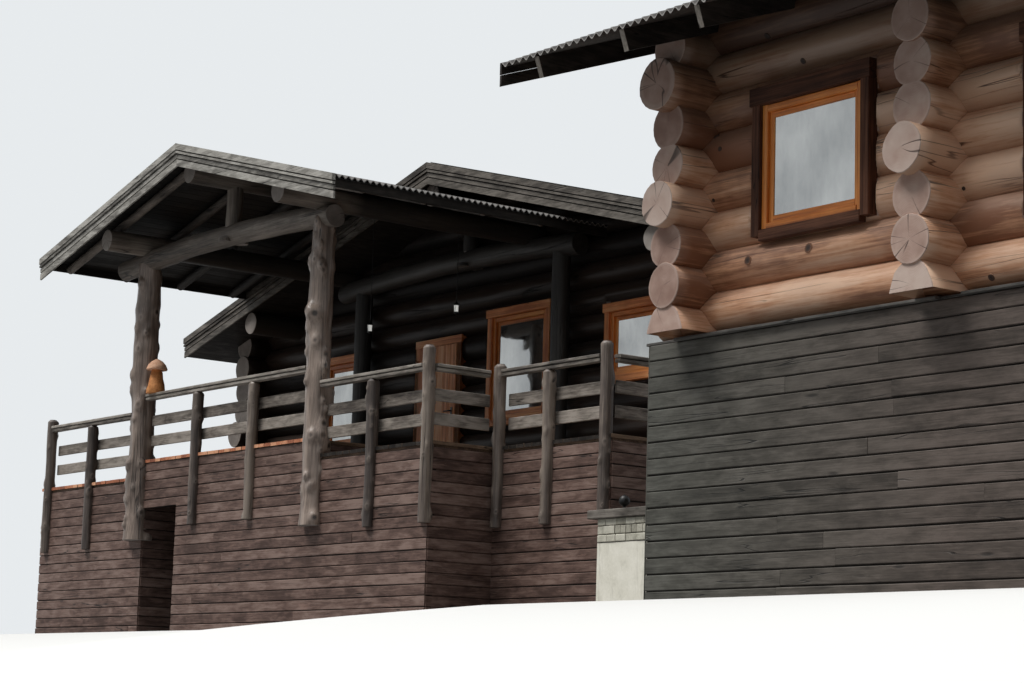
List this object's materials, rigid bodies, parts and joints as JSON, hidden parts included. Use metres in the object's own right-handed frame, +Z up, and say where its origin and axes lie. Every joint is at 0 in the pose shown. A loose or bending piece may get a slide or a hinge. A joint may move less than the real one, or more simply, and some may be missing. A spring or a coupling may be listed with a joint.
{
  "type": "log cabin",
  "caption": "Round-log house on a clad basement, with a lower log wing opening on a raised, railed deck under a gabled porch; hollow inside, with one hinged door.",
  "frame": {"origin": "middle of the building's plan at ground level", "axes": "+X to the right along the front, +Y from the front to the back, +Z up"},
  "size_m": [24.607, 13.112, 6.4852],
  "materials": {
    "logs": "oiled",
    "boards": "rough sawn",
    "floor_boards": "sawn",
    "roof_sheet": "dark, matt",
    "weathered_boards": "weathered grey",
    "knotty_logs": "barked, weathered",
    "window_timber": "stained",
    "glass": "clear",
    "iron": "blackened",
    "blocks": "stands for cobble-faced concrete blocks",
    "cap_timber": "weathered grey"
  },
  "bodies": {
    "root": {"house_basement_front": "boards", "house_basement_back": "boards", "house_basement_left": "boards", "house_basement_right": "boards", "basement_left": "boards", "basement_right": "boards", "wing_basement_front": "boards", "wing_basement_back": "boards", "deck_wall_left": "boards", "deck_wall_right": "boards", "deck_wall_over_passage": "boards", "passage_wall": "boards", "deck_return": "boards", "deck_wall_step": "boards", "house_drip_boards": "boards", "house_front_logs": "logs", "house_back_logs": "logs", "house_left_logs": "logs", "house_cross_logs": "logs", "house_right_logs": "logs", "wing_front_logs_left": "logs", "wing_front_logs_right": "logs", "wing_front_logs_over_door": "logs", "wing_back_logs": "logs", "wing_left_logs": "logs", "wing_right_logs": "logs", "house_floor": "floor_boards", "deck_floor": "floor_boards", "wing_floor": "floor_boards", "house_roof_front": "roof_sheet", "house_roof_back": "roof_sheet", "wing_roof_left": "roof_sheet", "wing_roof_right": "roof_sheet", "porch_roof_left": "roof_sheet", "porch_roof_right": "roof_sheet", "house_rafters_front": "weathered_boards", "house_rafters_back": "weathered_boards", "house_bargeboards": "weathered_boards", "wing_bargeboards": "weathered_boards", "porch_rafters": "weathered_boards", "porch_eave_boards": "weathered_boards", "porch_bargeboards": "weathered_boards", "deck_rail_front": "weathered_boards", "deck_rail_return": "weathered_boards", "deck_rail_step": "weathered_boards", "deck_rail_side": "weathered_boards", "wing_purlins": "knotty_logs", "porch_tie_beams": "knotty_logs", "porch_purlins": "knotty_logs", "king_posts": "knotty_logs", "porch_posts": "knotty_logs", "wall_posts": "knotty_logs", "window_casings": "window_timber", "window_frames": "window_timber", "door_frame": "window_timber", "window_glass": "glass", "block_wall": "blocks", "block_wall_cap": "cap_timber"},
    "door": {"door_leaf": "window_timber", "door_handle": "iron"}
  },
  "joints": [
    {"name": "porch_door", "type": "hinge", "parent": "root", "child": "door", "pos_m": [-7.13277, 0.363, 3.1], "axis": [0, 0, -1], "range_deg": [0, 95]}
  ]
}
